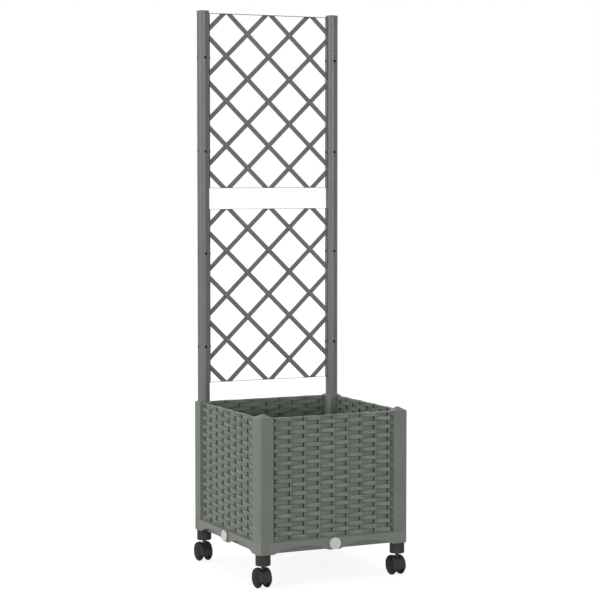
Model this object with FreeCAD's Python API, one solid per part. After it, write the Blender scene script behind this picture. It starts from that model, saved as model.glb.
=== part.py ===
"""Square floor planter on four twin-wheel casters, with a two-lattice trellis on its back posts.

Millimetres. +X right, +Y to the back, +Z up. The origin is on the floor under the middle of the box.
"""
import FreeCAD, Part
import math
import os

Vector = FreeCAD.Vector

# ---- box ----
box_width = 400.0              # outside, the same both ways
base_bottom_z = 82.0           # underside of the corner blocks
base_height = 29.0
post_side = 38.0
post_length = 297.0
post_outer_chamfer = 5.5
post_inner_chamfer = 8.0
post_bore_radius = 15.8
cap_rise = 10.0
cap_spigot_wall = 2.0
cap_spigot_length = 12.0

# ---- base tray ----
skirt_wall = 3.0
rim_flange = 3.0
rim_width = 17.0               # from the outside of the skirt to the inside of the reservoir wall
reservoir_wall = 2.6
tray_floor = 3.0
arch_rise = 15.0
arch_margin = 2.0              # between an arch and the corner block or the drain boss
drain_boss_radius = 13.5
drain_boss_lift = 0.5
flute_count = 4                # fine upright grooves at one end of each side
flute_width = 1.3
flute_depth = 0.8
flute_pitch = 5.6
flute_margin = 7.0             # from the outside corner to the middle of the first groove

# ---- woven side panels ----
row_count = 28
stake_pitch = 37.9             # between two crossings of a strand
stake_end_margin = 6.0         # least distance from the last crossing to the end of a strand
strand_thickness = 5.6
strand_sway = 2.6              # how far a strand swings each way in passing a stake
panel_inset = 10.0             # from the outside of the box to the middle of the weave
panel_sill = 2.5               # plain strip under the lowest row
panel_edge = 3.4               # plain upright strip at each end of the rows
panel_tongue = 3.0             # how far that strip reaches into the post
panel_tongue_thickness = 6.0
groove_clearance = 0.2
seat_clearance = 0.3           # between pieces that lie beside each other

# ---- soil grid ----
grid_thickness = 3.0
grid_lift = 10.0               # top of the grid above the top of the tray
grid_slot_columns = 6
grid_slot_rows = 4
grid_slot_width = 7.0
grid_slot_length = 44.0
cup_side = 30.0                # the feet are open cups that let the soil reach the water
cup_wall = 2.4
cup_inset = 70.0

# ---- drain plugs ----
plug_head_radius = 14.3
plug_head_thickness = 3.6
plug_recess_depth = 0.8
plug_rim_width = 2.6
plug_cross_width = 3.2
plug_spigot_radius = 9.0
plug_spigot_end = 1.5          # past the reservoir wall
plug_running_clearance = 0.05
washer_thickness = 1.5
washer_width = 3.2

# ---- casters ----
wheel_radius = 23.5
wheel_inner_x = 4.8
wheel_outer_x = 19.6
wheel_lip_radius = 16.0        # where the rounding of the tread starts on the inner side
wheel_inner_round = 8.0        # width of that rounding
wheel_inner_swell = 2.2
wheel_outer_round = 5.8        # width of the rounding towards the outer face
wheel_outer_swell = 1.7
wheel_face_radius = 14.1       # where the flatter outer face begins
wheel_face_crown = 0.6         # how far the outer face stands out at the hub
wheel_hub_radius = 8.5
wheel_hollow_depth = 6.0
wheel_mouth_radius = 15.2
wheel_hollow_radius = 14.2     # at the bottom of the hollow
axle_radius = 3.0
axle_cover = 3.5               # plastic of the wheel's face over the end of the axle
running_clearance = 0.05
hood_clearance = 0.7
hood_wall = 1.6
hood_crest_x = 9.5             # highest line of the cover over each wheel
hood_shoulder_x = 12.0
hood_side_x = 16.4
hood_side_drop = 2.6           # the side edge lies that much below the crest
hood_edge = 1.0                # thickness of the side edge
hood_side_swell = 0.7
hood_valley_half = 2.2         # half the width of the valley between the two covers
hood_valley_drop = 2.9
hood_valley_swell = 0.9
hood_inner_swell = 1.5
hood_web_skin = 2.5            # thickness under the valley
hood_front_angle = 105.0       # from the top of the wheels towards the front
hood_back_angle = 80.0
web_clearance = 0.3
web_overlap = 1.0              # of the web into the hood's skin
web_foot_z = 12.0              # the web reaches down between the wheels to this height
caster_trail = 7.0             # wheel axle behind the stem
stem_radius = 3.5
stem_collar_radius = 4.4
stem_foot_depth = 16.0         # of the stem in the hood
stem_boss_radius = 4.6
stem_boss_height = 6.8
hood_boss_top_z = 52.0
fixed_clearance = 0.02         # between metal pins and the plastic moulded round them
socket_radius = 18.25
socket_bottom_z = 55.5
socket_edge_radius = 1.5
socket_spigot_radius = 11.0
socket_spigot_clearance = 0.1
stem_top_margin = 6.0          # plastic over the top of the stem

# ---- trellis ----
tube_radius = 15.5
tube_wall = 1.2
tube_hole_radius = 3.4
tube_cap_lip = 0.4
tube_cap_edge = 3.0
tube_cap_dome = 1.8
tube_cap_swell = 0.7
tube_cap_spigot = 12.0
pole_flat = 1.0                # radius of the flat at the middle of a dome
lattice_height = 440.3
lattice_foot_gap = 48.9        # from the top of the posts to the lower lattice
lattice_gap = 52.7             # between the two lattices
lattice_head_gap = 1.8         # from the upper lattice to the top of the tubes
strip_thickness = 1.0
strip_depth = 11.0
bar_width = 11.5
bar_thickness = 2.4
bar_bevel = 1.6
crossing_step_x = 58.7         # half the width of one diamond
crossing_step_z = 56.6         # half the height of one diamond
screw_inset_top = 112.3        # below the top of each lattice
screw_inset_bottom = 92.5      # above its bottom
screw_radius = 2.1
screw_clearance = 0.1
screw_head_radius = 5.0
screw_head_height = 2.6
screw_head_swell = 0.9
screw_length = 11.0

# ---- worked out ----
half = box_width / 2
base_top_z = base_bottom_z + base_height
post_top_z = base_top_z + post_length
post_centre = half - post_side / 2
post_inside = half - post_side
inner_half = half - rim_width
axle_end_x = wheel_outer_x - axle_cover
drain_z = base_bottom_z + base_height / 2 + drain_boss_lift
strand_end = post_inside - seat_clearance
stakes_each_side = int((strand_end - stake_end_margin) / stake_pitch)
lattice_tops = {"lower": post_top_z + lattice_foot_gap + lattice_height}
lattice_tops["upper"] = lattice_tops["lower"] + lattice_gap + lattice_height
tube_top_z = lattice_tops["upper"] + lattice_head_gap
screw_drops = (screw_inset_top, lattice_height - screw_inset_bottom)
corners = {"front_left": (-1, -1), "front_right": (1, -1), "back_right": (1, 1), "back_left": (-1, 1)}
sides = {"front": 0, "right": 90, "back": 180, "left": 270}
bar_sides = {"rising": 1, "falling": -1}
axis_x = Vector(1, 0, 0)
axis_y = Vector(0, 1, 0)
axis_z = Vector(0, 0, 1)
origin = Vector(0, 0, 0)


def box(x0, x1, y0, y1, z0, z1):
    return Part.makeBox(x1 - x0, y1 - y0, z1 - z0, Vector(x0, y0, z0))


def cylinder(radius, start, direction, length):
    return Part.makeCylinder(radius, length, Vector(*start), direction)


def face_of(points):
    return Part.Face(Part.makePolygon([Vector(*p) for p in points + points[:1]]))


def upright_prism(outline, z0, z1):
    return face_of([(x, y, z0) for x, y in outline]).extrude(Vector(0, 0, z1 - z0))


def turned(shape, angle):
    """Turn about the middle of the box, as the four sides and corners repeat."""
    copy = shape.copy()
    copy.rotate(origin, axis_z, angle)
    return copy


def moved(shape, x, y, z):
    copy = shape.copy()
    copy.translate(Vector(x, y, z))
    return copy


def fused(shapes):
    return shapes[0].multiFuse(shapes[1:]).removeSplitter()


def single(shape):
    """The one solid of a boolean's result."""
    solids = shape.Solids
    if len(solids) != 1:
        raise ValueError("expected one solid, found %d" % len(solids))
    return solids[0]


def revolved(edges, start, direction, angle=360.0):
    return Part.Face(Part.Wire(edges)).revolve(start, direction, angle)


def lines(points):
    return [Part.LineSegment(Vector(*a), Vector(*b)).toShape() for a, b in zip(points, points[1:])]


def arc(start, middle, end):
    return Part.Arc(Vector(*start), Vector(*middle), Vector(*end)).toShape()


def swelling(start, end, swell):
    """Arc in an upright plane along X. Its middle stands out from the chord, upwards on the way to +X."""
    chord = Vector(*end) - Vector(*start)
    outwards = Vector(-chord.z, 0, chord.x).normalize()
    middle = (Vector(*start) + Vector(*end)) / 2 + outwards * swell
    return arc(start, tuple(middle), end)


# ---- corner posts ----

def post_outline(x_sign, y_sign):
    """Square section with one chamfer outside and a wider one towards the soil."""
    outer = post_outer_chamfer
    inner = post_inner_chamfer
    points = [(half - outer, half), (post_inside, half), (post_inside, post_inside + inner),
              (post_inside + inner, post_inside), (half, post_inside), (half, half - outer)]
    return [(x_sign * x, y_sign * y) for x, y in points]


def corner_post(x_sign, y_sign):
    post = upright_prism(post_outline(x_sign, y_sign), base_top_z, post_top_z)
    bore_start = (x_sign * post_centre, y_sign * post_centre, base_top_z)
    post = post.cut(cylinder(post_bore_radius, bore_start, axis_z, post_length))
    reach = panel_tongue + groove_clearance
    middle = half - panel_inset
    thick = panel_tongue_thickness / 2 + groove_clearance
    for along_x in (True, False):
        across = (middle - thick, middle + thick)
        into = (post_inside - 1, post_inside + reach)
        xs, ys = (into, across) if along_x else (across, into)
        x0, x1 = sorted(x_sign * v for v in xs)
        y0, y1 = sorted(y_sign * v for v in ys)
        post = post.cut(box(x0, x1, y0, y1, base_top_z, post_top_z))
    return single(post)


def pyramid(x_sign, y_sign):
    outline = post_outline(x_sign, y_sign)
    ring = [(x, y, post_top_z) for x, y in outline]
    apex = (x_sign * post_centre, y_sign * post_centre, post_top_z + cap_rise)
    faces = [face_of(ring)]
    for a, b in zip(ring, ring[1:] + ring[:1]):
        faces.append(face_of([a, b, apex]))
    solid = Part.Solid(Part.makeShell(faces))
    if solid.Volume < 0:
        solid.reverse()
    return solid


def post_cap(x_sign, y_sign):
    centre = (x_sign * post_centre, y_sign * post_centre, post_top_z - cap_spigot_length)
    outer = post_bore_radius - seat_clearance
    spigot = cylinder(outer, centre, axis_z, cap_spigot_length + 1)
    spigot = spigot.cut(cylinder(outer - cap_spigot_wall, centre, axis_z, cap_spigot_length))
    return single(pyramid(x_sign, y_sign).fuse(spigot))


def post_collar(x_sign, y_sign):
    """The same pyramid, pierced for the upright tube."""
    centre = (x_sign * post_centre, y_sign * post_centre, post_top_z)
    hole = cylinder(tube_radius + seat_clearance, centre, axis_z, cap_rise)
    return single(pyramid(x_sign, y_sign).cut(hole))


# ---- base tray ----

def arch_cut(x0, x1):
    """Shallow arch through the front skirt, a segment of one circle."""
    y0 = -half - 1
    middle = (x0 + x1) / 2
    low = base_bottom_z
    edges = lines([(x1, y0, low), (x1, y0, low - 1), (x0, y0, low - 1), (x0, y0, low)])
    edges.append(arc((x0, y0, low), (middle, y0, low + arch_rise), (x1, y0, low)))
    return Part.Face(Part.Wire(edges)).extrude(Vector(0, skirt_wall + 2, 0))


def corner_flutes():
    """Fine upright grooves on the front face of the front-left corner block."""
    cuts = []
    for i in range(flute_count):
        x = -half + flute_margin + i * flute_pitch
        cuts.append(box(x - flute_width / 2, x + flute_width / 2, -half, -half + flute_depth,
                        base_bottom_z, base_top_z))
    return cuts


def base_tray():
    corner = post_outer_chamfer
    points = [(-half + corner, -half), (half - corner, -half), (half, -half + corner),
              (half, half - corner), (half - corner, half), (-half + corner, half),
              (-half, half - corner), (-half, -half + corner)]
    tray = upright_prism(points, base_bottom_z, base_top_z)
    reservoir = box(-inner_half, inner_half, -inner_half, inner_half, base_bottom_z + tray_floor, base_top_z)
    for x_sign, y_sign in corners.values():
        x0, x1 = sorted((x_sign * post_inside, x_sign * half))
        y0, y1 = sorted((y_sign * post_inside, y_sign * half))
        reservoir = reservoir.cut(box(x0, x1, y0, y1, base_bottom_z, base_top_z))
        tray = tray.cut(cylinder(socket_spigot_radius + socket_spigot_clearance,
                                 (x_sign * post_centre, y_sign * post_centre, base_bottom_z), axis_z, base_height))
    tray = tray.cut(reservoir)
    boss_start = (0, -half + skirt_wall, drain_z)
    boss_length = rim_width - skirt_wall - reservoir_wall
    channel = box(-post_inside, post_inside, -half + skirt_wall, -half + rim_width - reservoir_wall,
                  base_bottom_z, base_top_z - rim_flange)
    channel = channel.cut(cylinder(drain_boss_radius, boss_start, axis_y, boss_length))
    arch_start = drain_boss_radius + arch_margin
    arch_end = post_inside - arch_margin
    cuts = [channel, arch_cut(-arch_end, -arch_start), arch_cut(arch_start, arch_end)]
    cuts.append(cylinder(plug_spigot_radius, (0, -half - 1, drain_z), axis_y, rim_width + 2))
    cuts += corner_flutes()
    for angle in sides.values():
        for cut in cuts:
            tray = tray.cut(turned(cut, angle))
    return single(tray)


# ---- woven side panels ----

def strand(row, z0, z1):
    """One row: it passes in front of every other stake and behind those between."""
    middle = -half + panel_inset
    path = [(-strand_end, 0.0)]
    for stake in range(-stakes_each_side, stakes_each_side + 1):
        side = -1 if (stake + row) % 2 == 0 else 1
        path.append((stake * stake_pitch, side * strand_sway))
    path.append((strand_end, 0.0))
    outside = [(x, middle + sway - strand_thickness / 2) for x, sway in path]
    inside = [(x, middle + sway + strand_thickness / 2) for x, sway in reversed(path)]
    return upright_prism(outside + inside, z0, z1)


def wicker_panel():
    """The front panel. Rows of opposite phase lie on each other and make the basket weave."""
    middle = -half + panel_inset
    weave_z0 = base_top_z + panel_sill
    row_height = (post_top_z - weave_z0) / row_count
    pieces = []
    for row in range(row_count):
        z0 = weave_z0 + row * row_height
        pieces.append(strand(row, z0, z0 + row_height))
    edge = panel_tongue_thickness / 2
    for x_sign in (-1, 1):
        x0, x1 = sorted((x_sign * (strand_end - panel_edge), x_sign * (post_inside + panel_tongue)))
        pieces.append(box(x0, x1, middle - edge, middle + edge, base_top_z, post_top_z))
    sill = strand_thickness / 2 + strand_sway
    pieces.append(box(-strand_end, strand_end, middle - sill, middle + sill, base_top_z, weave_z0))
    return single(fused(pieces))


# ---- soil grid ----

def soil_grid():
    """Perforated false floor on five hollow feet, notched round the corner posts."""
    top = base_top_z + grid_lift
    reach = half - panel_inset - strand_sway - strand_thickness / 2 - 2 * seat_clearance
    notch = post_inside - 2 * seat_clearance
    plate = box(-reach, reach, -reach, reach, top - grid_thickness, top)
    for x_sign, y_sign in corners.values():
        x0, x1 = sorted((x_sign * notch, x_sign * half))
        y0, y1 = sorted((y_sign * notch, y_sign * half))
        plate = plate.cut(box(x0, x1, y0, y1, base_top_z, top))
    pitch_x = 2 * notch / grid_slot_columns
    pitch_y = 2 * notch / grid_slot_rows
    slots = []
    for column in range(grid_slot_columns):
        for row in range(grid_slot_rows):
            x = -notch + pitch_x * (column + 0.5)
            y = -notch + pitch_y * (row + 0.5)
            slots.append(box(x - grid_slot_width / 2, x + grid_slot_width / 2,
                             y - grid_slot_length / 2, y + grid_slot_length / 2, top - grid_thickness, top))
    plate = plate.cut(Part.makeCompound(slots))
    cup_z0 = base_bottom_z + tray_floor + seat_clearance
    outer = cup_side / 2
    inner = outer - cup_wall
    spread = notch - cup_inset
    cups = [(x_sign * spread, y_sign * spread) for x_sign, y_sign in corners.values()] + [(0, 0)]
    grid = fused([plate] + [box(x - outer, x + outer, y - outer, y + outer, cup_z0, top) for x, y in cups])
    wells = [box(x - inner, x + inner, y - inner, y + inner, cup_z0 + cup_wall, top) for x, y in cups]
    return single(grid.cut(Part.makeCompound(wells)))


# ---- drain plugs ----

def drain_plug():
    seat_y = -half - seat_clearance - washer_thickness
    head_y = seat_y - plug_head_thickness
    head = cylinder(plug_head_radius, (0, head_y, drain_z), axis_y, plug_head_thickness)
    recess_radius = plug_head_radius - plug_rim_width
    recess = cylinder(recess_radius, (0, head_y, drain_z), axis_y, plug_recess_depth)
    arm = plug_cross_width / 2
    reach = plug_head_radius - plug_rim_width / 2
    for x, z in ((reach, arm), (arm, reach)):
        recess = recess.cut(box(-x, x, head_y, head_y + plug_recess_depth, drain_z - z, drain_z + z))
    spigot_length = -half + rim_width + plug_spigot_end - seat_y
    spigot = cylinder(plug_spigot_radius - plug_running_clearance, (0, seat_y, drain_z), axis_y, spigot_length)
    return single(head.cut(recess).fuse(spigot))


def plug_washer():
    start = (0, -half - seat_clearance - washer_thickness, drain_z)
    ring = cylinder(plug_spigot_radius + washer_width, start, axis_y, washer_thickness)
    return single(ring.cut(cylinder(plug_spigot_radius, start, axis_y, washer_thickness)))


# ---- casters, built with the stem on the Z axis ----

def caster_socket():
    top = base_bottom_z
    edge = socket_edge_radius
    bore = stem_radius + running_clearance
    stem_top = base_top_z - stem_top_margin
    slope = edge * (1 - math.sqrt(0.5))
    points = [(socket_radius, 0, socket_bottom_z + edge), (socket_radius, 0, top),
              (socket_spigot_radius, 0, top), (socket_spigot_radius, 0, base_top_z),
              (0, 0, base_top_z), (0, 0, stem_top + seat_clearance),
              (bore, 0, stem_top + seat_clearance), (bore, 0, socket_bottom_z),
              (socket_radius - edge, 0, socket_bottom_z)]
    edges = lines(points)
    edges.append(arc((socket_radius - edge, 0, socket_bottom_z),
                     (socket_radius - slope, 0, socket_bottom_z + slope),
                     (socket_radius, 0, socket_bottom_z + edge)))
    return single(revolved(edges, origin, axis_z))


def caster_stem():
    foot = hood_boss_top_z - stem_foot_depth
    top = base_top_z - stem_top_margin
    stem = cylinder(stem_radius, (0, 0, foot), axis_z, top - foot)
    collar = cylinder(stem_collar_radius, (0, 0, hood_boss_top_z), axis_z,
                      socket_bottom_z - hood_boss_top_z - seat_clearance)
    return single(stem.fuse(collar).removeSplitter())


def hood_half_section():
    """Right half of the hood's section straight over the axle: outer edges, then inner ones, towards +X."""
    inner = 2 * wheel_radius + hood_clearance
    crest = inner + hood_wall
    side_x = hood_side_x
    web_half = wheel_inner_x - web_clearance
    valley_z = crest - hood_valley_drop

    def at(x, z):
        return (x, caster_trail, z)

    side_z = crest - hood_side_drop
    outer = [swelling(at(hood_valley_half, valley_z), at(hood_crest_x, crest), hood_valley_swell),
             swelling(at(hood_crest_x, crest), at(side_x, side_z), hood_side_swell)]
    under = [swelling(at(web_half, valley_z - hood_web_skin), at(hood_shoulder_x, inner), hood_inner_swell),
             swelling(at(hood_shoulder_x, inner), at(side_x - hood_edge, side_z), hood_side_swell / 2)]
    rim = lines([at(side_x, side_z), at(side_x - hood_edge, side_z)])
    middle = lines([at(0, valley_z), at(hood_valley_half, valley_z)])
    middle += lines([at(0, valley_z - hood_web_skin), at(web_half, valley_z - hood_web_skin)])
    return outer + under + rim + middle


def hood_shell():
    """The two covers with the valley between them, turned about the axle."""
    half_section = hood_half_section()
    edges = half_section + [edge.mirror(origin, axis_x) for edge in half_section]
    outline = Part.Wire(Part.__sortEdges__(edges))
    axle = Vector(0, caster_trail, wheel_radius)
    shell = Part.Face(outline).revolve(axle, axis_x, hood_front_angle + hood_back_angle)
    shell.rotate(axle, axis_x, -hood_back_angle)
    return shell


def caster_hood():
    """Shell over both wheels, carried by a web between them that holds the stem and the axle."""
    web_half = wheel_inner_x - web_clearance
    valley_radius = wheel_radius + hood_clearance + hood_wall - hood_valley_drop
    reach = valley_radius - hood_web_skin + web_overlap
    axle_start = (-web_half, caster_trail, wheel_radius)
    disc = cylinder(reach, axle_start, axis_x, 2 * web_half)
    web = disc.cut(box(-web_half, web_half, -reach * 2, reach * 2, -reach, web_foot_z))
    boss = cylinder(stem_boss_radius, (0, 0, hood_boss_top_z - stem_boss_height), axis_z, stem_boss_height)
    hood = fused([hood_shell(), web, boss])
    foot = hood_boss_top_z - stem_foot_depth
    hood = hood.cut(cylinder(stem_radius + fixed_clearance, (0, 0, foot), axis_z, stem_foot_depth))
    return single(hood.cut(cylinder(axle_radius + fixed_clearance, axle_start, axis_x, 2 * web_half)))


def caster_axle():
    return cylinder(axle_radius, (-axle_end_x, caster_trail, wheel_radius), axis_x, 2 * axle_end_x)


def caster_wheel(x_sign):
    """Hollow inside, crowned tread, closed domed face outside."""
    bore = axle_radius + running_clearance
    hollow_x = wheel_inner_x + wheel_hollow_depth
    tread_x = wheel_inner_x + wheel_inner_round
    rim_x = wheel_outer_x - wheel_face_crown
    shoulder_x = rim_x - wheel_outer_round
    pocket_x = axle_end_x + seat_clearance

    def at(x, radius):
        return (x, caster_trail, wheel_radius + radius)

    edges = lines([at(hollow_x, bore), at(hollow_x, wheel_hollow_radius), at(wheel_inner_x, wheel_mouth_radius),
                   at(wheel_inner_x, wheel_lip_radius)])
    edges.append(swelling(at(wheel_inner_x, wheel_lip_radius), at(tread_x, wheel_radius), wheel_inner_swell))
    edges += lines([at(tread_x, wheel_radius), at(shoulder_x, wheel_radius)])
    edges.append(swelling(at(shoulder_x, wheel_radius), at(rim_x, wheel_face_radius), wheel_outer_swell))
    edges += lines([at(rim_x, wheel_face_radius), at(wheel_outer_x, wheel_hub_radius), at(wheel_outer_x, 0),
                    at(pocket_x, 0), at(pocket_x, bore), at(hollow_x, bore)])
    wheel = single(revolved(edges, Vector(0, caster_trail, wheel_radius), axis_x))
    return wheel if x_sign > 0 else wheel.mirror(origin, axis_x)


# ---- trellis ----

def tube_holes(x_sign, lattice_top):
    """Cross-holes at the screw heights: open in front, behind and outside, snug for the screw inside."""
    x = x_sign * post_centre
    reach = 2 * tube_radius + 2
    holes = []
    for drop in screw_drops:
        z = lattice_top - drop
        holes.append(cylinder(tube_hole_radius, (x, post_centre - reach / 2, z), axis_y, reach))
        holes.append(cylinder(tube_hole_radius, (x, post_centre, z), axis_x * x_sign, reach / 2))
        holes.append(cylinder(screw_radius + screw_clearance, (x, post_centre, z), axis_x * -x_sign, reach / 2))
    return holes


def trellis_tube(x_sign):
    start = (x_sign * post_centre, post_centre, base_top_z)
    length = tube_top_z - base_top_z
    tube = cylinder(tube_radius, start, axis_z, length)
    tube = tube.cut(cylinder(tube_radius - tube_wall, start, axis_z, length))
    for top in lattice_tops.values():
        for hole in tube_holes(x_sign, top):
            tube = tube.cut(hole)
    return single(tube)


def tube_cap(x_sign):
    outer = tube_radius + tube_cap_lip
    plug = tube_radius - tube_wall - seat_clearance
    low = tube_top_z - tube_cap_spigot
    edge = tube_top_z + tube_cap_edge
    peak = edge + tube_cap_dome
    points = [(pole_flat, 0, peak), (0, 0, peak), (0, 0, low), (plug, 0, low), (plug, 0, tube_top_z),
              (outer, 0, tube_top_z), (outer, 0, edge)]
    edges = lines(points) + [swelling(points[0], points[-1], tube_cap_swell)]
    return moved(single(revolved(edges, origin, axis_z)), x_sign * post_centre, post_centre, 0)


def lattice_rails(top):
    """Flat strips along the top and bottom of a lattice, between its side strips."""
    reach = post_centre - tube_radius - strip_thickness
    y0 = post_centre - strip_depth / 2
    bottom = top - lattice_height
    rails = []
    for z in (bottom, top - strip_thickness):
        rails.append(box(-reach, reach, y0, y0 + strip_depth, z, z + strip_thickness))
    return Part.makeCompound(rails)


def lattice_side_strips(top):
    """Flat strips against the inner sides of the uprights, drilled for the screws."""
    outer_x = post_centre - tube_radius
    y0 = post_centre - strip_depth / 2
    strips = []
    for x_sign in (-1, 1):
        x0, x1 = sorted((x_sign * outer_x, x_sign * (outer_x - strip_thickness)))
        strip = box(x0, x1, y0, y0 + strip_depth, top - lattice_height, top)
        for drop in screw_drops:
            hole = (x0, post_centre, top - drop)
            strip = strip.cut(cylinder(screw_radius + screw_clearance, hole, axis_x, strip_thickness))
        strips.append(single(strip))
    return Part.makeCompound(strips)


def lattice_bars(top, direction):
    """Bars of one slope, cut to the inside of the frame. Falling bars lie in front of rising ones."""
    inner_x = post_centre - tube_radius - strip_thickness
    inner_z = lattice_height / 2 - strip_thickness
    middle_z = top - lattice_height / 2
    window = box(-inner_x, inner_x, post_centre - bar_thickness * 2, post_centre + bar_thickness * 2,
                 middle_z - inner_z, middle_z + inner_z)
    slope = math.degrees(math.atan2(crossing_step_z, crossing_step_x))
    front = -1 if direction < 0 else 1
    edge = bar_width / 2
    flat = edge - bar_bevel
    section = [(-edge, 0), (edge, 0), (edge, front * bar_thickness / 2), (flat, front * bar_thickness),
               (-flat, front * bar_thickness), (-edge, front * bar_thickness / 2)]
    reach = lattice_height
    bars = []
    steps = int((inner_x / crossing_step_x + inner_z / crossing_step_z) / 2)
    for index in range(-steps, steps + 1):
        bar = face_of([(-reach, y, z) for z, y in section]).extrude(Vector(2 * reach, 0, 0))
        bar.rotate(origin, axis_y, -slope * direction)
        bar.translate(Vector(2 * index * crossing_step_x, post_centre, middle_z))
        bars.append(single(bar.common(window)))
    return Part.makeCompound(bars)


def trellis_screws():
    """Pan-head screws through the side strips into the uprights, two to a side of each lattice."""
    seat_x = post_centre - tube_radius - strip_thickness
    crown_x = seat_x - screw_head_height
    crown = (crown_x, 0, pole_flat)
    brim = (seat_x, 0, screw_head_radius)
    tip_x = seat_x + screw_length
    edges = [swelling(crown, brim, screw_head_swell)]
    edges += lines([crown, (crown_x, 0, 0), (tip_x, 0, 0), (tip_x, 0, screw_radius),
                    (seat_x, 0, screw_radius), brim])
    screw = single(revolved(edges, origin, axis_x))
    screws = []
    for top in lattice_tops.values():
        for drop in screw_drops:
            right = moved(screw, 0, post_centre, top - drop)
            screws += [right, right.mirror(origin, axis_x)]
    return Part.makeCompound(screws)


nodes = {"base_tray": base_tray(), "soil_grid": soil_grid(), "trellis_screws": trellis_screws()}
for name, (sign_x, sign_y) in corners.items():
    nodes["corner_post_" + name] = corner_post(sign_x, sign_y)
    if sign_y < 0:
        nodes["post_cap_" + name] = post_cap(sign_x, sign_y)
    else:
        nodes["post_collar_" + name] = post_collar(sign_x, sign_y)
caster_parts = {"socket": caster_socket(), "stem": caster_stem(), "hood": caster_hood(), "axle": caster_axle(),
                "wheel_left": caster_wheel(-1), "wheel_right": caster_wheel(1)}
for name, (sign_x, sign_y) in corners.items():
    for part, shape in caster_parts.items():
        nodes["caster_%s_%s" % (part, name)] = moved(shape, sign_x * post_centre, sign_y * post_centre, 0)
side_parts = {"wicker_panel": wicker_panel(), "drain_plug": drain_plug(), "plug_washer": plug_washer()}
for name, angle in sides.items():
    for part, shape in side_parts.items():
        nodes["%s_%s" % (part, name)] = turned(shape, angle)
for name, sign_x in (("left", -1), ("right", 1)):
    nodes["trellis_tube_" + name] = trellis_tube(sign_x)
    nodes["tube_cap_" + name] = tube_cap(sign_x)
for name, top in lattice_tops.items():
    nodes["lattice_rails_" + name] = lattice_rails(top)
    nodes["lattice_side_strips_" + name] = lattice_side_strips(top)
    for slope_name, direction in bar_sides.items():
        nodes["lattice_%s_bars_%s" % (slope_name, name)] = lattice_bars(top, direction)

os.makedirs("parts", exist_ok=True)
for node, shape in sorted(nodes.items()):
    shape.exportStep("parts/%s.step" % node)
    print("%-36s %3d solid(s) %12.1f mm3  valid %s" % (node, len(shape.Solids), shape.Volume, shape.isValid()))
print("%d nodes" % len(nodes))
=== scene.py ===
"""Square planter with a woven box, a two-lattice trellis and four casters: finishes and woven panels.

Metres. +X right, +Y to the back, +Z up, origin on the floor under the middle of the box.
"""
import math
import bmesh
import bpy
import numpy as np
from mathutils import Matrix, Vector, noise


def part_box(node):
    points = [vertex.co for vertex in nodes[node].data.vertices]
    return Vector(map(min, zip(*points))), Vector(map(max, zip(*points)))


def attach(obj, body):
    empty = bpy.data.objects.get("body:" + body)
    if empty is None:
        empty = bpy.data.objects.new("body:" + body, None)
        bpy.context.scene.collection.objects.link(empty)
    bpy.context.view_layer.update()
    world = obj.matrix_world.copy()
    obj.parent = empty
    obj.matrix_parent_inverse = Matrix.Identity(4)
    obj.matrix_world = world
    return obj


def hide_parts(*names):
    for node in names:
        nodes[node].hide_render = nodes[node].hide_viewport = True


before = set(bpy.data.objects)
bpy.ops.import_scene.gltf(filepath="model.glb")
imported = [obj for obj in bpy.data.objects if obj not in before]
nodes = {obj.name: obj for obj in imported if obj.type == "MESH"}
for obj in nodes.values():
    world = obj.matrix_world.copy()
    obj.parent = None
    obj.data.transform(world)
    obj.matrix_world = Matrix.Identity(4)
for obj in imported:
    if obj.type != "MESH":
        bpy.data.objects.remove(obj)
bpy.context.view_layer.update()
MM = 0.001

# ---- camera, fitted to the edges of the box and the trellis ----
CAMERA_PLACE = (-2.0693, -4.3360, 0.9904)
CAMERA_YAW = math.radians(25.545)       # to the right of +Y
CAMERA_PITCH = math.radians(3.004)      # downwards
CAMERA_LENS = 116.045
CAMERA_SHIFT = -0.044
SENSOR_WIDTH = 36.0

# ---- light: each sun's level, the way it travels and its softness in degrees ----
SUNS = {
    "left_key": (2.65, (0.95, 0.28, -0.05), 60),
    "front_fill": (0.8, (0.12, 0.98, -0.05), 10),
    "back_fill": (0.9, (-0.40, -0.90, -0.12), 40),
    "top_fill": (0.5, (0.05, 0.05, -1.0), 50),
}
LAMP_DISTANCE = 4
WORLD_LEVEL = 0.42
FLOOR_GREY = 0.3
FLOOR_GLOW = 0.86
FLOOR_HALF_SIDE = 60

# ---- weave ----
ROW_COUNT = 28
ROW_DRIFT = 0.15 * MM                   # a row lies up to this far in front of or behind the middle
ROW_DRIFT_STEP = 3.7                    # between two rows, in the noise that their drift comes from
STAKE_PITCH = 37.9 * MM
STAKES_EACH_SIDE = 4                    # of the middle one
STAKE_WIDTH = 4.5 * MM
STAKE_THICKNESS = 6.8 * MM
STAKE_ROUNDING = 1.0 * MM
STAKE_FOOT = 0.5 * MM                   # above the lower edge of the panel
STAKE_HEAD = 0.6 * MM                   # below its upper edge
PANEL_TONGUE = 3.3 * MM                 # part of the panel's length that sits in the grooves of the posts
SILL_HEIGHT = 2.5 * MM
SILL_ROUNDING = 0.7 * MM
STILE_WIDTH = 3.4 * MM
STILE_THICKNESS = 6.0 * MM
STILE_ROUNDING = 0.8 * MM
STRAND_THICKNESS = 1.8 * MM             # where it passes a stake
STRAND_LAP = 0.1 * MM                   # of one row over the next
STRAND_SIDES = 16
FLAT_POWER = 0.3                        # squareness of a strand's section through its thickness
TALL_POWER = 0.25                       # and along its height
SLOT_START = 2.4 * MM                   # a strand comes out from behind a stake here
SLOT_END = 3.9 * MM                     # and is back among its neighbours here
SLOT_STEPS = 3
SLOPE_STEPS = 4
PAINTED_SHADE_FADE = 1.2 * MM                  # depth over which the painted shade of a strand behind a stake comes in
FALL_SHADE = 0.17                       # painted shade of a strand on its way in behind the next stake
FALL_SHADE_TOP = 0.8                    # and along its upper edge, under the row that comes out there
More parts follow.
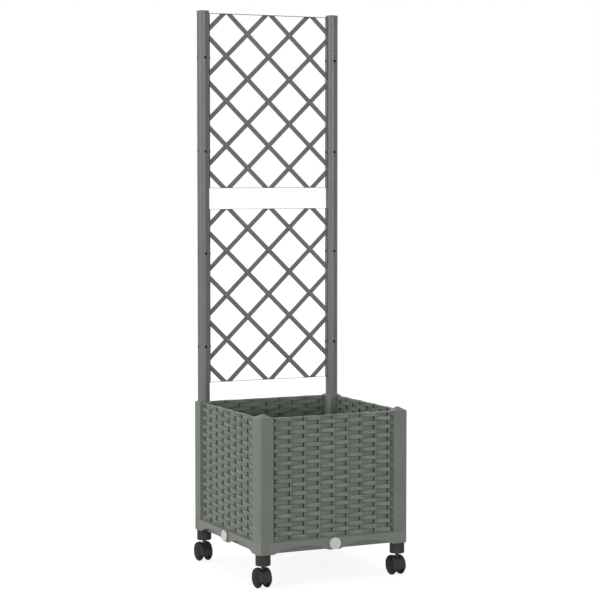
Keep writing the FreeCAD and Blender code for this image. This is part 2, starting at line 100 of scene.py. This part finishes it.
FALL_SHADE_FOCUS = 3                    # how closely that keeps to the edge
FIBRE_SHIFT = (0.731, 0.0973)           # of the fibres from one row to the next
FIBRE_TURN = 0.6                        # share of a strand's thickness that the fibres follow
RIM_BUMP_PITCH = STAKE_PITCH / 3
RIM_STEPS = 6                           # in each bump
RIM_SIDES = 8
RIM_HALF_WIDTH = 4.4 * MM
RIM_HALF_HEIGHT = 1.6 * MM
RIM_SWELL = 0.45

# ---- bridge between the covers of each hood; its angles run from the top of the wheels to the front ----
BRIDGE_START = math.radians(12)
BRIDGE_RISE = math.radians(50)          # from here on it is level with the covers
BRIDGE_END = math.radians(104.5)
BRIDGE_STEPS = 24
BRIDGE_SIDES = 8                        # a multiple of 4, so that it has points at both edges
BRIDGE_RADIUS = 25.72 * MM
BRIDGE_HALF_WIDTH = 9.5 * MM
BRIDGE_SHARP = math.radians(40)
VALLEY_RADIUS = 22.6 * MM
VALLEY_HALF_WIDTH = 2.2 * MM

# ---- rounded edges of the moulded nodes ----
WELD_DISTANCE = 0.005 * MM
EDGE_ANGLE = math.radians(28)
EDGE_SEGMENTS = 2


# ---- shader maths ----

class Signal:
    """A node socket that can be used in arithmetic."""

    def __init__(self, shading, socket):
        self.shading = shading
        self.socket = socket

    def math(self, operation, *others, swap=False):
        values = (*others, self) if swap else (self, *others)
        return self.shading.node("ShaderNodeMath", {"operation": operation}, *values)

    def __add__(self, other):
        return self.math("ADD", other)

    def __sub__(self, other):
        return self.math("SUBTRACT", other)

    def __rsub__(self, other):
        return self.math("SUBTRACT", other, swap=True)

    def __mul__(self, other):
        return self.math("MULTIPLY", other)

    def __pow__(self, other):
        return self.math("POWER", other)

    def __rpow__(self, other):
        return self.math("POWER", other, swap=True)

    def __abs__(self):
        return self.math("ABSOLUTE")

    __radd__ = __add__
    __rmul__ = __mul__


class Shading:
    """Adds nodes to the tree of a material or of the world."""

    def __init__(self, tree):
        self.tree = tree

    def node(self, kind, settings, *values, output=None, **named):
        """Adds a node, sets it up, feeds its inputs in order or by name and returns one output."""
        node = self.tree.nodes.new(kind)
        for key, value in settings.items():
            setattr(node, key, value)
        in_use = [socket for socket in node.inputs if socket.enabled]
        by_name = [(node.inputs[key], value) for key, value in named.items()]
        for socket, value in [*zip(in_use, values), *by_name]:
            if isinstance(value, Signal):
                self.tree.links.new(value.socket, socket)
            else:
                socket.default_value = value
        given = [socket for socket in node.outputs if socket.enabled and output in (None, socket.name)]
        return Signal(self, given[0])

    def seen_rays(self):
        """1 for camera, glossy and transmission rays."""
        camera, glossy, passed = (self.node("ShaderNodeLightPath", {}, output=ray)
                                  for ray in ("Is Camera Ray", "Is Glossy Ray", "Is Transmission Ray"))
        return self.node("ShaderNodeClamp", {}, camera + glossy + passed)


class Finish(Shading):
    """A material whose varying values are written as expressions."""

    def __init__(self, name, **constants):
        self.material = bpy.data.materials.new(name)
        self.material.use_nodes = True
        super().__init__(self.material.node_tree)
        self.shader = self.tree.nodes["Principled BSDF"]
        for socket, value in constants.items():
            self.shader.inputs[socket.replace("_", " ")].default_value = value

    def set(self, socket, signal):
        self.tree.links.new(signal.socket, self.shader.inputs[socket])

    def place(self, scale=(1, 1, 1)):
        """Object coordinates, stretched by scale."""
        start = self.node("ShaderNodeTexCoord", {}, output="Object")
        return self.node("ShaderNodeMapping", {}, start, Scale=scale)

    def place_on_strand(self, scale):
        """Metres along and across a strand, stretched by scale."""
        start = self.node("ShaderNodeUVMap", {"uv_map": "strand"})
        return self.node("ShaderNodeMapping", {}, start, Scale=scale)

    def axes(self, where):
        """X, Y and Z of a place."""
        split = self.node("ShaderNodeSeparateXYZ", {}, where).socket.node
        return [Signal(self, output) for output in split.outputs]

    def noise(self, where, scale=1.0, detail=3.0, rough=0.55):
        return self.node("ShaderNodeTexNoise", {}, output="Fac", Vector=where, Scale=scale, Detail=detail,
                         Roughness=rough)

    def level(self, signal, low, high, to_low=0.0, to_high=1.0):
        return self.node("ShaderNodeMapRange", {}, signal, low, high, to_low, to_high)

    def blend(self, factor, first, second):
        """Mixes two colours."""
        return self.node("ShaderNodeMix", {"data_type": "RGBA"}, factor, first, second)

    def bump(self, height, distance):
        self.set("Normal", self.node("ShaderNodeBump", {}, Height=height, Distance=distance, Strength=1.0))


def colour(red, green, blue):
    """Linear colour of a display value given from 0 to 255."""
    def linear(value):
        value /= 255
        return value / 12.92 if value < 0.04045 else ((value + 0.055) / 1.055) ** 2.4
    return (linear(red), linear(green), linear(blue), 1.0)


# ---- finishes: noise scales are per metre, stretches along X, Y and Z or along and across a strand ----

NOISE_SPAN = (0.3, 0.7)                 # of a noise, over which a roughness changes
TONE_SPAN = (0.35, 0.65)                # and over which a tone changes

CLOUD_SCALE = 14                        # slow changes of tone in moulded plastic
SCUFF_SCALE = 160
SCUFF_STRETCH = (1, 1, 0.25)
SCUFF_SPAN = (0.56, 0.75)
SCUFF_POLISH = 0.06                     # taken off the roughness where the plastic is scuffed
ROUGHNESS_SWING = 0.05

WHEEL_FACE = (colour(32, 32, 32), colour(44, 44, 44))
# painted shade on the tread and inner side of a wheel, under its hood
WHEEL_TREAD_SHADE = (colour(13, 13, 13), colour(20, 20, 20))
WHEEL_FACE_SPAN = (11.0 * MM, 13.0 * MM)    # from the middle of a caster, where the painted shade of the tread turns into the face
WHEEL_GRAIN = 0.9 * MM
WHEEL_GRAIN_DEPTH = 0.05 * MM
WHEEL_ROUGHNESS = (0.55, 0.65)

WICKER_BASE = colour(127, 134, 126)
WICKER_DEEP = colour(91, 98, 91)
# painted shade in the deep parts of the weave and on the sides of the stakes
WICKER_PAINTED_SHADE = colour(33, 36, 33)
WICKER_ROUGHNESS = (0.58, 0.44)
FIBRE_STRETCH = (18, 430, 1)
FINE_FIBRE_STRETCH = (60, 2200, 1)
FIBRE_CLOUD_STRETCH = (14, 120, 1)
FIBRE_SPAN = (0.36, 0.64)
FIBRE_DEPTH = 0.9 * MM

# painted shade inside the upright tubes, so that their holes look dark
TUBE_BORE_SHADE = colour(14, 14, 14)
BORE_SPAN = (0.5 * MM, 0.4 * MM)        # under the outer surface of a tube, where the painted shade inside begins
COAT_ROUGHNESS = (0.27, 0.35)
COAT_CLOUD_SCALE = 9
PEEL_SCALE = 900
PEEL_DEPTH = 0.05 * MM
DRAW_LINE_SCALE = 420
DRAW_LINE_STRETCH = (1, 1, 0.02)

TURNING_SCALE = 500
TURNING_STRETCH = (1, 1, 8)
TURNING_DEPTH = 0.02 * MM
TURNING_SHADE = 0.7                     # of the metal's colour
TURNING_ROUGHNESS = (-0.06, 0.08)       # added to the metal's own


def plastic_noise(finish, grain):
    """Fine grain, slow changes of tone, and both together as a tone."""
    where = finish.place()
    fine = finish.noise(where, 1 / grain, detail=2.0)
    slow = finish.noise(where, CLOUD_SCALE, detail=4.0)
    return fine, slow, finish.level(slow * 0.7 + fine * 0.3, *TONE_SPAN)


def moulded(name, base, deep, roughness, grain, grain_depth, **constants):
    """Injection-moulded plastic: fine spark-eroded grain, slow changes of tone and faint scuffs."""
    finish = Finish(name, **constants)
    fine, slow, tone = plastic_noise(finish, grain)
    rubbed = finish.noise(finish.place(SCUFF_STRETCH), SCUFF_SCALE, detail=6.0, rough=0.7)
    scuff = finish.level(rubbed, *SCUFF_SPAN)
    unrubbed = finish.level(slow, *NOISE_SPAN, roughness - ROUGHNESS_SWING, roughness + ROUGHNESS_SWING)
    finish.set("Base Color", finish.blend(tone, deep, base))
    finish.set("Roughness", unrubbed - scuff * SCUFF_POLISH)
    finish.bump(fine, grain_depth)
    return finish.material


def wheel_plastic(name):
    """Nylon wheel: satin outer face; the tread and inner side are painted darker as shade under the hood.
    """
    finish = Finish(name, Specular_IOR_Level=0.1)
    fine, slow, tone = plastic_noise(finish, WHEEL_GRAIN)
    low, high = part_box("caster_axle_front_right")
    x = finish.axes(finish.place())[0]
    face = finish.level(abs(abs(x) - (low[0] + high[0]) / 2), *WHEEL_FACE_SPAN)
    # the tread and inner side get painted shade, the outer face its own colour
    shaded_tread = finish.blend(tone, *WHEEL_TREAD_SHADE)
    finish.set("Base Color", finish.blend(face, shaded_tread, finish.blend(tone, *WHEEL_FACE)))
    finish.set("Roughness", finish.level(slow, *NOISE_SPAN, *WHEEL_ROUGHNESS))
    finish.bump(fine, WHEEL_GRAIN_DEPTH)
    return finish.material


def wicker(name):
    """Plastic strands drawn with fibres along their length, with painted shade where the weave is deep and
    on the sides of the stakes.
    """
    finish = Finish(name)
    fibres = finish.noise(finish.place_on_strand(FIBRE_STRETCH), detail=5.0, rough=0.62)
    fine = finish.noise(finish.place_on_strand(FINE_FIBRE_STRETCH), rough=0.5)
    slow = finish.noise(finish.place_on_strand(FIBRE_CLOUD_STRETCH))
    # painted shade: deep parts of the weave, the way in behind a stake and the sides of the stakes
    deep = finish.node("ShaderNodeAttribute", {"attribute_name": "painted_shade"}, output="Fac")
    tone = finish.level(fibres * 0.6 + slow * 0.4, *FIBRE_SPAN)
    strand = finish.blend(tone, WICKER_DEEP, WICKER_BASE)
    finish.set("Base Color", finish.blend(deep, strand, WICKER_PAINTED_SHADE))
    finish.set("Roughness", finish.level(fibres, *NOISE_SPAN, *WICKER_ROUGHNESS))
    finish.bump(fibres * 0.75 + fine * 0.25, FIBRE_DEPTH)
    return finish.material


def within_tube(finish):
    """1 on the inside of the two upright tubes, where shade is painted."""
    low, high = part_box("trellis_tube_right")
    middle_x, middle_y = (low[0] + high[0]) / 2, (low[1] + high[1]) / 2
    tube_radius = (high[0] - low[0]) / 2
    x, y, _ = finish.axes(finish.place())
    across, back = abs(x) - middle_x, y - middle_y
    radius = (across * across + back * back) ** 0.5
    return finish.level(radius, *(tube_radius - depth for depth in BORE_SPAN), 1.0, 0.0)


def coated_steel(name, base, deep):
    """Powder-coated steel: faint orange peel, draw lines along Z, painted shade inside the upright tubes.
    """
    finish = Finish(name, Specular_IOR_Level=0.4)
    where = finish.place()
    peel = finish.noise(where, PEEL_SCALE, detail=2.0)
    lines = finish.noise(finish.place(DRAW_LINE_STRETCH), DRAW_LINE_SCALE)
    slow = finish.noise(where, COAT_CLOUD_SCALE)
    paint = finish.blend(finish.level(slow * 0.5 + lines * 0.5, *TONE_SPAN), deep, base)
    # painted shade inside the upright tubes
    finish.set("Base Color", finish.blend(within_tube(finish), paint, TUBE_BORE_SHADE))
    finish.set("Roughness", finish.level(peel * 0.5 + slow * 0.5, *TONE_SPAN, *COAT_ROUGHNESS))
    finish.bump(peel, PEEL_DEPTH)
    return finish.material


def bright_metal(name, base, roughness):
    """Turned zinc-plated steel."""
    finish = Finish(name, Metallic=1.0)
    turning = finish.noise(finish.place(TURNING_STRETCH), TURNING_SCALE)
    darker = tuple(channel * TURNING_SHADE for channel in base[:3]) + (1.0,)
    finish.set("Base Color", finish.blend(turning, base, darker))
    ends = (roughness + change for change in TURNING_ROUGHNESS)
    finish.set("Roughness", finish.level(turning, *NOISE_SPAN, *ends))
    finish.bump(turning, TURNING_DEPTH)
    return finish.material


finishes = {
    "post": moulded("moulded_grey_plastic", colour(118, 124, 117), colour(110, 116, 109), roughness=0.5,
                    grain=0.9 * MM, grain_depth=0.05 * MM, Specular_IOR_Level=0.35),
    "tray": moulded("base_grey_plastic", colour(120, 124, 117), colour(111, 115, 109), roughness=0.5,
                    grain=1.1 * MM, grain_depth=0.06 * MM),
    "wicker": wicker("drawn_wicker_strands"),
    "grid": moulded("soil_grid_plastic", colour(70, 74, 70), colour(56, 60, 56), roughness=0.55,
                    grain=1.2 * MM, grain_depth=0.08 * MM),
    "plug": moulded("pale_plug_plastic", colour(224, 226, 224), colour(206, 209, 207), roughness=0.34,
                    grain=0.8 * MM, grain_depth=0.03 * MM),
    "caster": moulded("black_nylon", colour(50, 50, 50), colour(37, 37, 37), roughness=0.55,
                      grain=0.7 * MM, grain_depth=0.06 * MM, Specular_IOR_Level=0.25),
    "wheel": wheel_plastic("black_wheel_nylon"),
    "tube": coated_steel("coated_tube", colour(106, 109, 105), colour(98, 101, 97)),
    "rail": coated_steel("coated_rail", colour(82, 84, 81), colour(74, 76, 73)),
    "lattice": moulded("lattice_plastic", colour(112, 113, 110), colour(100, 102, 99), roughness=0.44,
                       grain=0.8 * MM, grain_depth=0.05 * MM),
    "steel": bright_metal("dark_zinc", colour(90, 90, 92), roughness=0.38),
    "rubber": moulded("washer_rubber", colour(38, 38, 38), colour(26, 26, 26), roughness=0.7,
                      grain=0.6 * MM, grain_depth=0.06 * MM),
}

finish_of = {
    "base_tray": "tray", "corner_post": "post", "post_cap": "post", "post_collar": "post",
    "wicker_panel": "wicker", "soil_grid": "grid", "drain_plug": "plug", "plug_washer": "rubber",
    "caster_socket": "caster", "caster_hood": "caster", "caster_stem": "steel", "caster_axle": "steel",
    "caster_wheel": "wheel", "trellis_tube": "tube", "tube_cap": "post", "lattice_rails": "rail",
    "lattice_side_strips": "tube", "lattice_rising_bars": "lattice", "lattice_falling_bars": "lattice",
    "trellis_screws": "steel",
}
edge_width = {
    "base_tray": 0.9 * MM, "corner_post": 0.8 * MM, "post_cap": 0.9 * MM, "post_collar": 0.9 * MM,
    "drain_plug": 0.5 * MM, "lattice_rising_bars": 0.5 * MM, "lattice_falling_bars": 0.5 * MM,
    "tube_cap": 0.4 * MM,
}


def dress_nodes():
    """Gives every node its finish, and the moulded ones rounded edges."""
    for name, node in nodes.items():
        family = max((key for key in finish_of if name.startswith(key)), key=len)
        node.data.materials.clear()
        node.data.materials.append(finishes[finish_of[family]])
        if family in edge_width:
            weld = node.modifiers.new("weld", "WELD")
            weld.merge_threshold = WELD_DISTANCE
            bevel = node.modifiers.new("rounded_edges", "BEVEL")
            bevel.width = edge_width[family]
            bevel.segments = EDGE_SEGMENTS
            bevel.limit_method = "ANGLE"
            bevel.angle_limit = EDGE_ANGLE
            bevel.use_clamp_overlap = True
            bevel.harden_normals = True


# ---- mesh helpers ----

def finished(name, mesh, finish, body="planter"):
    """A new piece in its finish, riding on a body."""
    mesh.materials.append(finishes[finish])
    piece = bpy.data.objects.new(name, mesh)
    bpy.context.scene.collection.objects.link(piece)
    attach(piece, body)
    return piece


def to_mesh(bm, name):
    mesh = bpy.data.meshes.new(name)
    bm.to_mesh(mesh)
    bm.free()
    return mesh


def points_of(mesh):
    points = np.empty(len(mesh.vertices) * 3)
    mesh.vertices.foreach_get("co", points)
    return points.reshape(-1, 3)


def set_points(mesh, points):
    mesh.vertices.foreach_set("co", np.ascontiguousarray(points).ravel())
    mesh.update()


def smooth_step(share):
    return share * share * (3 - 2 * share)


def swept_bar(sides, stations):
    """Straight bar along X with a round section of unit radius at each station."""
    bm = bmesh.new()
    ring = bmesh.ops.create_circle(bm, segments=sides, radius=1.0)["verts"]
    for vert in ring:
        vert.co = Vector((stations[0], vert.co.x, vert.co.y))
    edges = list(bm.edges)
    bmesh.ops.contextual_create(bm, geom=edges)
    for before, after in zip(stations, stations[1:]):
        made = bmesh.ops.extrude_edge_only(bm, edges=edges)["geom"]
        edges = [part for part in made if isinstance(part, bmesh.types.BMEdge)]
        verts = [part for part in made if isinstance(part, bmesh.types.BMVert)]
        bmesh.ops.translate(bm, verts=verts, vec=(after - before, 0, 0))
    bmesh.ops.contextual_create(bm, geom=edges)
    bmesh.ops.recalc_face_normals(bm, faces=bm.faces)
    return to_mesh(bm, "bar_along_x")


def bar_between(bm, low, high, round_off, segments=2):
    """Adds a straight bar with rounded edges."""
    size = Vector(high) - Vector(low)
    place = Matrix.Translation((Vector(low) + Vector(high)) / 2) @ Matrix.Diagonal((*size, 1))
    verts = bmesh.ops.create_cube(bm, size=1.0, matrix=place)["verts"]
    edges = list({edge for vert in verts for edge in vert.link_edges})
    bmesh.ops.bevel(bm, geom=edges, offset=round_off, segments=segments, profile=0.5, affect="EDGES",
                    material=-1)


# ---- woven panels ----

def way_along(x, parity):
    """Place in the two stakes' length after which a strand repeats, from 0 to 1."""
    return (x / (2 * STAKE_PITCH) + parity / 2) % 1.0


def face_depth(x, parity, reach):
    """How deep a strand's face lies: far back behind every other stake, then a slow rise to the next."""
    from_under = STAKE_PITCH - np.abs(way_along(x, parity) - 0.5) * 2 * STAKE_PITCH
    climb = np.clip((from_under - SLOT_END) / (STAKE_PITCH - SLOT_START - SLOT_END), 0, 1)
    out = smooth_step(np.clip((from_under - SLOT_START) / (SLOT_END - SLOT_START), 0, 1))
    return reach * (1 - out - climb)


def fall_shade(x, up, parity):
    """How much painted shade a strand gets on its way in behind the next stake, where its neighbours would
    shade it.
    """
    way = way_along(x, parity) * 2 - 1
    return np.where(way > 0, FALL_SHADE + FALL_SHADE_TOP * way * np.clip(up, 0, 1) ** FALL_SHADE_FOCUS, 0)


def weave_stations(end):
    """Places along a strand where it gets a section."""
    slot = (SLOT_END - SLOT_START) / SLOT_STEPS
    slope = (STAKE_PITCH - 2 * SLOT_END) / SLOPE_STEPS
    steps = [SLOT_START + slot * k for k in range(SLOT_STEPS)]
    steps += [SLOT_END + slope * k for k in range(SLOPE_STEPS)]
    steps += [STAKE_PITCH - step for step in steps]
    stations = {-end, end}
    for stake in range(-STAKES_EACH_SIDE - 1, STAKES_EACH_SIDE + 1):
        stations.update(round(stake * STAKE_PITCH + step, 6) for step in steps)
    return sorted(x for x in stations if -end <= x <= end)


def squared(values, power):
    """Turns a circle's coordinate into that of a rounded square."""
    return np.copysign(np.abs(values) ** power, values)


def lay_strands(points, middle, bottom, row_height, reach, turn):
    """Places the points of all rows. Gives their places, their UV map and the painted shade of each point,
    where it lies deep and on its way in behind a stake.
    """
    row = np.arange(ROW_COUNT)[:, None]
    x, across, up = points[..., 0], points[..., 1], points[..., 2]
    drift = [[noise.noise((number * ROW_DRIFT_STEP + turn, 0.5, 0.0))] for number in range(ROW_COUNT)]
    front = face_depth(x, (row + 1) % 2, reach) - STRAND_THICKNESS / 2
    back = STRAND_THICKNESS / 2 - face_depth(x, row % 2, reach)
    thick = squared(across, FLAT_POWER) * (back - front) / 2
    tall = squared(up, TALL_POWER) * (row_height + STRAND_LAP) / 2
    depth = (front + back) / 2 + thick
    y = middle + depth + np.array(drift) * ROW_DRIFT
    placed = np.stack([x, y, bottom + (row + 0.5) * row_height + tall], -1)
    uv = np.stack([x + row * FIBRE_SHIFT[0], tall + thick * FIBRE_TURN + row * FIBRE_SHIFT[1]], -1)
    # painted shade where a strand lies deep behind a stake
    painted_depth_shade = np.clip((0.5 * PAINTED_SHADE_FADE - np.sign(across.round(3)) * depth) / PAINTED_SHADE_FADE, 0, 1)
    shade = fall_shade(np.where(across < 0, x, -x), up, (row + 1) % 2)
    return placed, uv, np.maximum(painted_depth_shade, shade)


def lay_rim(points, middle, top):
    """Turns the unit bar into the beaded edge along the top."""
    x, across, up = points[..., 0], points[..., 1], points[..., 2]
    swell = 1 + RIM_SWELL * np.cos(x / RIM_BUMP_PITCH * 2 * math.pi)
    centre = top - RIM_HALF_HEIGHT * (1 + RIM_SWELL)
    y = middle + across * RIM_HALF_WIDTH * swell
    return np.stack([x, y, centre + up * RIM_HALF_HEIGHT * swell], -1)


def add_frame(bm, low, high, middle, end):
    """Stakes, end stiles and sill. Gives the number of points up to the last stake."""
    for stake in range(-STAKES_EACH_SIDE, STAKES_EACH_SIDE + 1):
        x = stake * STAKE_PITCH
        bar_between(bm, (x - STAKE_WIDTH / 2, middle - STAKE_THICKNESS / 2, low[2] + STAKE_FOOT),
                    (x + STAKE_WIDTH / 2, middle + STAKE_THICKNESS / 2, high[2] - STAKE_HEAD),
                    STAKE_ROUNDING, segments=3)
    stakes_end = len(bm.verts)
    for side in (-1, 1):
        x0, x1 = sorted((side * (end - STILE_WIDTH), side * high[0]))
        bar_between(bm, (x0, middle - STILE_THICKNESS / 2, low[2]),
                    (x1, middle + STILE_THICKNESS / 2, high[2]), STILE_ROUNDING)
    bar_between(bm, (-end, low[1], low[2]), (end, high[1], low[2] + SILL_HEIGHT), SILL_ROUNDING)
    return stakes_end


def set_fibres(mesh, uv, painted_shade):
    """Stores the UV map of the fibres and the painted shade of each point in the weave."""
    corner_verts = np.empty(len(mesh.loops), dtype=int)
    mesh.loops.foreach_get("vertex_index", corner_verts)
    mesh.uv_layers.new(name="strand").data.foreach_set("uv", uv[corner_verts].ravel())
    mesh.attributes.new("painted_shade", "FLOAT", "POINT").data.foreach_set("value", painted_shade)


def woven_panel(name, angle):
    """Rows of strands round nine stakes, with a sill, end stiles and a beaded rim."""
    low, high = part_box("wicker_panel_front")
    middle = (low[1] + high[1]) / 2
    reach = (high[1] - low[1] - STRAND_THICKNESS) / 2 - ROW_DRIFT
    end = high[0] - PANEL_TONGUE
    bottom = low[2] + SILL_HEIGHT
    row_height = (high[2] - bottom) / ROW_COUNT
    rim_count = int(2 * end / RIM_BUMP_PITCH * RIM_STEPS)
    rim_stations = [-end + 2 * end * k / rim_count for k in range(rim_count + 1)]
    bars = [(swept_bar(STRAND_SIDES, weave_stations(end - STILE_WIDTH / 2)), ROW_COUNT),
            (swept_bar(RIM_SIDES, rim_stations), 1)]
    bm = bmesh.new()
    for bar, count in bars:
        for _ in range(count):
            bm.from_mesh(bar)
    sizes = [len(bar.vertices) * count for bar, count in bars]
    stakes_end = add_frame(bm, low, high, middle, end)
    mesh = to_mesh(bm, name)
    points = points_of(mesh)
    uv = np.stack([points[:, 2], points[:, 0] + points[:, 1]], -1)
    painted_shade = np.zeros(len(points))
    strands, rim, stakes = np.split(np.arange(stakes_end), np.cumsum(sizes))
    rows = points[strands].reshape(ROW_COUNT, -1, 3)
    laid = lay_strands(rows, middle, bottom, row_height, reach, angle)
    points[strands], uv[strands], painted_shade[strands] = (
        values.reshape(len(strands), -1).squeeze() for values in laid)
    points[rim] = lay_rim(points[rim], middle, high[2])
    uv[rim] = points[rim][:, [0, 1]]
    # painted shade on the sides of the stakes, where the slots lie in shadow
    inside_stake = STAKE_THICKNESS / 2 - np.abs(points[stakes][:, 1] - middle)
    painted_shade[stakes] = np.clip(inside_stake / STAKE_ROUNDING, 0, 1)
    set_points(mesh, points)
    set_fibres(mesh, uv, painted_shade)
    mesh.shade_smooth()
    mesh.transform(Matrix.Rotation(math.radians(angle), 4, "Z"))
    return mesh


def build_panels():
    for side, angle in (("front", 0), ("right", 90), ("back", 180), ("left", 270)):
        name = "woven_panel_" + side
        piece = finished(name, woven_panel(name, angle), "wicker")
        piece.modifiers.new("flat_faces", "WEIGHTED_NORMAL")
        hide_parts("wicker_panel_" + side)


# ---- casters ----

def hood_bridge(name, axle):
    """Closes the valley between the two covers of a hood towards the front."""
    step = (BRIDGE_END - BRIDGE_START) / BRIDGE_STEPS
    mesh = swept_bar(BRIDGE_SIDES, [BRIDGE_START + step * k for k in range(BRIDGE_STEPS + 1)])
    angle, across, up = points_of(mesh).T
    rise = smooth_step(np.clip((angle - BRIDGE_START) / (BRIDGE_RISE - BRIDGE_START), 0, 1))
    at_edge = np.abs(across).round(3) == 1
    on_top = up.round(3) > 0
    top_radius = VALLEY_RADIUS + (BRIDGE_RADIUS - VALLEY_RADIUS) * rise
    radius = np.where(at_edge, BRIDGE_RADIUS, np.where(on_top, top_radius, VALLEY_RADIUS))
    x = across * np.where(at_edge, BRIDGE_HALF_WIDTH, VALLEY_HALF_WIDTH * math.sqrt(2))
    points = np.stack([x, -radius * np.sin(angle), radius * np.cos(angle)], -1)
    set_points(mesh, points + np.array(axle))
    mesh.name = name
    mesh.shade_smooth()
    mesh.set_sharp_from_angle(angle=BRIDGE_SHARP)
    return mesh


def build_hood_bridges():
    axle_names = [name for name in nodes if name.startswith("caster_axle_")]
    for name in axle_names:
        corner = name.removeprefix("caster_axle_")
        low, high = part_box(name)
        axle = [(a + b) / 2 for a, b in zip(low, high)]
        mesh = hood_bridge("hood_bridge_" + corner, axle)
        finished("hood_bridge_" + corner, mesh, "caster", "caster_" + corner)


# ---- studio ----

def build_floor():
    bm = bmesh.new()
    bmesh.ops.create_grid(bm, x_segments=1, y_segments=1, size=FLOOR_HALF_SIDE)
    mesh = to_mesh(bm, "studio_floor")
    finish = Finish("pale_floor")
    finish.tree.nodes.remove(finish.shader)
    diffuse = finish.node("ShaderNodeBsdfDiffuse", {}, (FLOOR_GREY, FLOOR_GREY, FLOOR_GREY, 1))
    glow = finish.node("ShaderNodeEmission", {}, (1, 1, 1, 1), finish.seen_rays() * FLOOR_GLOW)
    total = finish.node("ShaderNodeAddShader", {}, diffuse, glow)
    finish.tree.links.new(total.socket, finish.tree.nodes["Material Output"].inputs["Surface"])
    mesh.materials.append(finish.material)
    floor = bpy.data.objects.new("studio_floor", mesh)
    bpy.context.scene.collection.objects.link(floor)


def build_world():
    world = bpy.data.worlds.new("studio_world")
    world.use_nodes = True
    bpy.context.scene.world = world
    background = world.node_tree.nodes["Background"]
    background.inputs["Color"].default_value = (1, 1, 1, 1)
    strength = Shading(world.node_tree).seen_rays() * (1 - WORLD_LEVEL) + WORLD_LEVEL
    world.node_tree.links.new(strength.socket, background.inputs["Strength"])


def build_lights():
    for name, (level, direction, softness) in SUNS.items():
        light = bpy.data.lights.new(name, "SUN")
        light.energy = level
        light.angle = math.radians(softness)
        lamp = bpy.data.objects.new(name, light)
        lamp.rotation_euler = Vector(direction).to_track_quat("-Z", "Y").to_euler()
        lamp.location = Vector(direction) * -LAMP_DISTANCE
        bpy.context.scene.collection.objects.link(lamp)


def build_camera():
    camera = bpy.data.cameras.new("camera")
    camera.sensor_width = SENSOR_WIDTH
    camera.lens = CAMERA_LENS
    camera.shift_y = CAMERA_SHIFT
    stand = bpy.data.objects.new("camera", camera)
    stand.location = CAMERA_PLACE
    stand.rotation_euler = (math.pi / 2 - CAMERA_PITCH, 0, -CAMERA_YAW)
    bpy.context.scene.collection.objects.link(stand)
    bpy.context.scene.camera = stand


dress_nodes()
build_panels()
build_hood_bridges()
build_floor()
build_world()
build_lights()
build_camera()
bpy.context.scene.view_settings.view_transform = "Standard"
